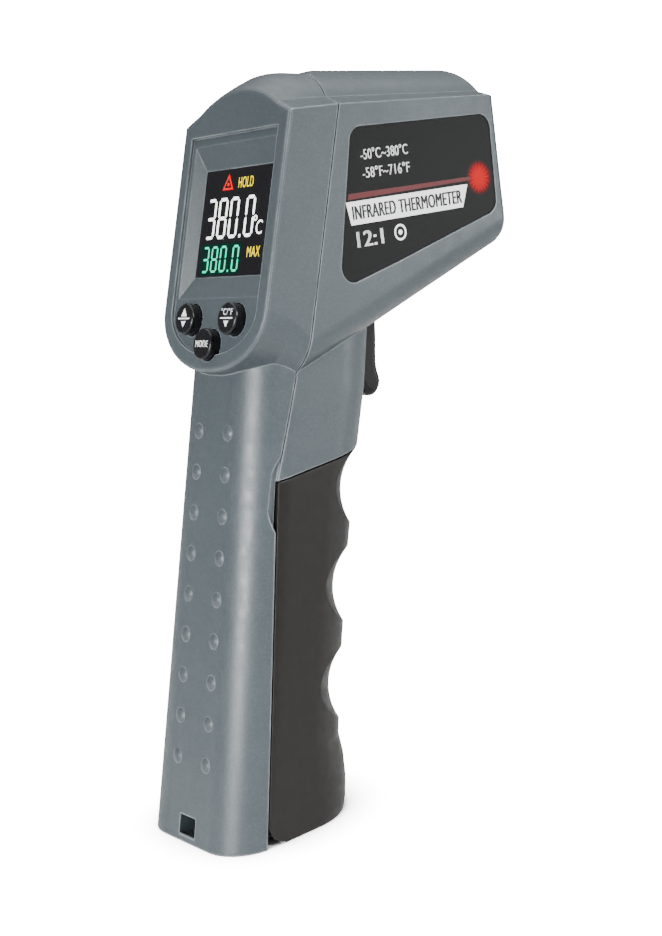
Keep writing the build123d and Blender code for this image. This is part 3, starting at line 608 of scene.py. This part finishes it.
def button_legends():
    """White legends on the three buttons; each rides with its button."""
    up = face_layout(-BUTTON_PROUD, *BUTTONS["up"])
    line = [(-2.1, -0.15), (2.1, -0.15), (2.1, 0.15), (-2.1, 0.15)]
    down_arrow = [(-0.85, -0.55), (0.0, -1.85), (0.85, -0.55)]
    up_arrow = [(-1.05, 0.45), (1.05, 0.45), (0.0, 2.15)]
    prints("up_legend", [up_arrow, line, down_arrow], up, WHITE_INK, "up_button")
    unit = face_layout(-BUTTON_PROUD, *BUTTONS["unit"])
    prints("unit_legend", [line, down_arrow], unit, WHITE_INK, "unit_button")
    place = face_layout(-BUTTON_PROUD, BUTTONS["unit"][0], BUTTONS["unit"][1] + 1.3)
    lettering("unit_legend_word", "°C/°F", place, 3.9, 1.35, WHITE_INK, "unit_button")
    mode = face_layout(-BUTTON_PROUD, *BUTTONS["mode"])
    lettering("mode_legend", "MODE", mode, 4.4, 1.35, WHITE_INK, "mode_button", 0.06)


def burst(radius, inner, rays):
    """A star outline."""
    points = []
    for i in range(2 * rays):
        reach = radius if i % 2 == 0 else inner
        angle = pi * i / rays
        points.append((reach * cos(angle), reach * sin(angle)))
    return points


def label_graphics():
    """Stripe, band, laser dot with its burst given a painted glow, and plain figures on both side labels."""
    for side, name in ((1, "left"), (-1, "right")):
        sheet = label_layout(side, 0.0, 0.0)

        def flat(points, flip=side):
            turned = [(-flip * x, z) for x, z in points]
            return turned if flip < 0 else list(reversed(turned))

        def words(piece, text, x, z, width, height, finish, bold):
            place = label_layout(side, x, z)
            lettering(f"label_{piece}_{name}", text, place, width, height, finish, "body", bold)

        stripe = [(29.8, 124.9), (64.9, 125.3), (64.9, 126.1), (30.2, 126.1)]
        prints(f"label_stripe_{name}", [flat(stripe)], sheet, RED_INK, "body", 0.02)
        band = [(30.0, 119.8), (61.9, 119.9), (63.9, 124.6), (29.2, 124.5)]
        prints(f"label_band_{name}", [flat(band)], sheet, WHITE_INK, "body", 0.02)
        star = [(x + LASER_DOT[0], z + LASER_DOT[1]) for x, z in burst(3.3, 1.35, 18)]
        # the burst is printed ink given a painted glow
        prints(f"label_burst_{name}", [flat(star)], sheet, BURST_PAINTED_GLOW, "body", 0.02)
        words("title", "INFRARED THERMOMETER", 46.2, 122.2, 31.0, 2.8, BLACK_INK, 0.13)
        words("range_c", "-50°C~380°C", 41.2, 133.6, 13.0, 2.2, WHITE_INK, 0.04)
        words("range_f", "-58°F~716°F", 41.2, 129.9, 13.0, 2.2, WHITE_INK, 0.04)
        words("spot", "12:1", 34.6, 116.8, 7.0, 3.2, WHITE_INK, 0.12)
        target = ring(circle(1.7, 43.0, 116.9), circle(1.25, 43.0, 116.9)) + [circle(0.55, 43.0, 116.9)]
        prints(f"label_target_{name}", [flat(p) for p in target], sheet, WHITE_INK, "body")


# ---------------------------------------------------------------- trigger spring
SPRING_SEAT = Vector((27.4, 0.0, 86.2)) * MM
SPRING_LENGTH, COIL_RADIUS, WIRE_RADIUS, COIL_TURNS = 11.19, 2.0, 0.25, 6


def trigger_spring():
    """A coil along X behind the trigger's blade."""
    steps, sides = COIL_TURNS * 24, 8
    shape = bmesh.new()
    rows = []
    for i in range(steps + 1):
        angle = 2 * pi * COIL_TURNS * i / steps
        along = WIRE_RADIUS + (SPRING_LENGTH - 2 * WIRE_RADIUS) * i / steps
        outward = Vector((0, cos(angle), sin(angle)))
        row = []
        for j in range(sides):
            turn = 2 * pi * j / sides
            point = outward * (COIL_RADIUS + WIRE_RADIUS * cos(turn))
            point.x = along + WIRE_RADIUS * sin(turn)
            row.append(shape.verts.new(point))
        rows.append(row)
    for row, after in zip(rows, rows[1:]):
        for j in range(sides):
            k = (j + 1) % sides
            shape.faces.new((row[j], row[k], after[k], after[j]))
    shape.faces.new(rows[0])
    shape.faces.new(rows[-1])
    bmesh.ops.recalc_face_normals(shape, faces=shape.faces)
    mesh = bpy.data.meshes.new("trigger_coil")
    shape.to_mesh(mesh)
    shape.free()
    place = Matrix.Translation(SPRING_SEAT) @ Matrix.Scale(MM, 4)
    coil = add_mesh("trigger_coil", mesh, place, STEEL, "body")
    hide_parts("trigger_spring")
    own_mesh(coil)


dress_nodes()
trigger_spring()
display_graphics()
button_legends()
label_graphics()


# ---------------------------------------------------------------- studio
BACKDROP = 30.0                  # brightness of the backdrop, seen by the camera only
ROOM = 0.28                      # brightness of the room, which lights the object
FLOOR_LIFT = 16.0                # brightness added to the floor, seen by the camera only
FLOOR_HALF = 3.0
CONTACT_REACH = 0.012            # how far from the object the lift of the floor fades, leaving a painted contact shadow


def studio_floor():
    """A large pale floor, lifted towards white for the camera except close to the object, where a painted
    contact shadow is left.
    """
    shape = bmesh.new()
    bmesh.ops.create_grid(shape, x_segments=8, y_segments=8, size=FLOOR_HALF)
    mesh = bpy.data.meshes.new("studio_floor")
    shape.to_mesh(mesh)
    shape.free()
    floor = bpy.data.objects.new("studio_floor", mesh)
    floor.location.z = cad_low.z - 0.0001
    bpy.context.scene.collection.objects.link(floor)
    made, nodes, links, shader = blank("studio_paper")
    where = nodes.new("ShaderNodeTexCoord").outputs["Object"]
    mottle = noise(nodes, links, where, 3.0, 2.0)
    paper = blend_colours(nodes, links, mottle, (0.86, 0.86, 0.86), (0.90, 0.90, 0.90))
    links.new(paper, shader.inputs["Base Color"])
    shader.inputs["Roughness"].default_value = 0.7
    shader.inputs["Emission Color"].default_value = (1, 1, 1, 1)
    seen = nodes.new("ShaderNodeMath")
    seen.operation = "MULTIPLY"
    seen.inputs[1].default_value = FLOOR_LIFT
    links.new(nodes.new("ShaderNodeLightPath").outputs["Is Camera Ray"], seen.inputs[0])
    # painted contact shadow: the lift fades to nothing where the floor is occluded by the object
    contact = nodes.new("ShaderNodeAmbientOcclusion")
    contact.inputs["Distance"].default_value = CONTACT_REACH
    open_floor = nodes.new("ShaderNodeMath")
    open_floor.operation = "MULTIPLY"
    links.new(remap(nodes, links, contact.outputs["AO"], 0.45, 0.95, 0.0, 1.0), open_floor.inputs[0])
    links.new(seen.outputs["Value"], open_floor.inputs[1])
    links.new(open_floor.outputs["Value"], shader.inputs["Emission Strength"])
    mesh.materials.append(made)


def area_light(name, place, target, size, power, spread=180.0):
    """A square soft box pointing at a target, with a beam of the given spread in degrees."""
    data = bpy.data.lights.new(name, "AREA")
    data.size = size
    data.energy = power
    data.spread = radians(spread)
    lamp = bpy.data.objects.new(name, data)
    lamp.location = place
    lamp.rotation_mode = "QUATERNION"
    lamp.rotation_quaternion = (Vector(target) - Vector(place)).to_track_quat("-Z", "Y")
    bpy.context.scene.collection.objects.link(lamp)


def studio_lights():
    """Soft boxes behind, at the side, in front and overhead, in a dim room with a bright backdrop."""
    centre = (cad_low + cad_high) / 2
    barrel = Vector((0.045, -0.018, 0.165))
    handle = Vector((-0.008, 0.0, 0.055))
    grip = Vector((0.012, -0.012, 0.040))
    area_light("key", (-0.46, -0.12, 0.16), handle, 0.22, 0.45, 50.0)
    area_light("side", (0.20, -0.62, 0.52), barrel, 0.22, 0.60, 42.0)
    area_light("front", (0.52, -0.40, 0.08), grip, 0.20, 0.05, 30.0)
    area_light("top", (0.10, 0.10, 1.10), centre, 1.4, 14.0)
    world = bpy.data.worlds.new("studio")
    world.use_nodes = True
    nodes, links = world.node_tree.nodes, world.node_tree.links
    room = nodes["Background"]
    room.inputs["Color"].default_value = (1, 1, 1, 1)
    room.inputs["Strength"].default_value = ROOM
    seen = nodes.new("ShaderNodeBackground")
    seen.inputs["Strength"].default_value = BACKDROP
    path = nodes.new("ShaderNodeLightPath")
    either = nodes.new("ShaderNodeMixShader")
    links.new(path.outputs["Is Camera Ray"], either.inputs["Fac"])
    links.new(room.outputs["Background"], either.inputs[1])
    links.new(seen.outputs["Background"], either.inputs[2])
    links.new(either.outputs["Shader"], nodes["World Output"].inputs["Surface"])
    bpy.context.scene.world = world


CAMERA_PLACE = Vector((-0.17302, -0.26608, 0.13171))
CAMERA_YAW, CAMERA_PITCH, CAMERA_ROLL = radians(52.57), radians(10.73), radians(-7.514)
CAMERA_LENS = 60.39


def camera():
    """A three-quarter view from behind and to the right, tipped a little."""
    look = Vector((
        cos(CAMERA_PITCH) * cos(CAMERA_YAW), cos(CAMERA_PITCH) * sin(CAMERA_YAW), -sin(CAMERA_PITCH),
    ))
    level = look.cross(UP).normalized()
    above = level.cross(look)
    right = cos(CAMERA_ROLL) * level + sin(CAMERA_ROLL) * above
    up = cos(CAMERA_ROLL) * above - sin(CAMERA_ROLL) * level
    data = bpy.data.cameras.new("camera")
    data.lens = CAMERA_LENS
    data.sensor_width = 36.0
    eye = bpy.data.objects.new("camera", data)
    bpy.context.scene.collection.objects.link(eye)
    turn = Matrix((right, up, -look)).transposed().to_4x4()
    eye.matrix_world = Matrix.Translation(CAMERA_PLACE) @ turn
    bpy.context.scene.camera = eye


studio_floor()
studio_lights()
camera()
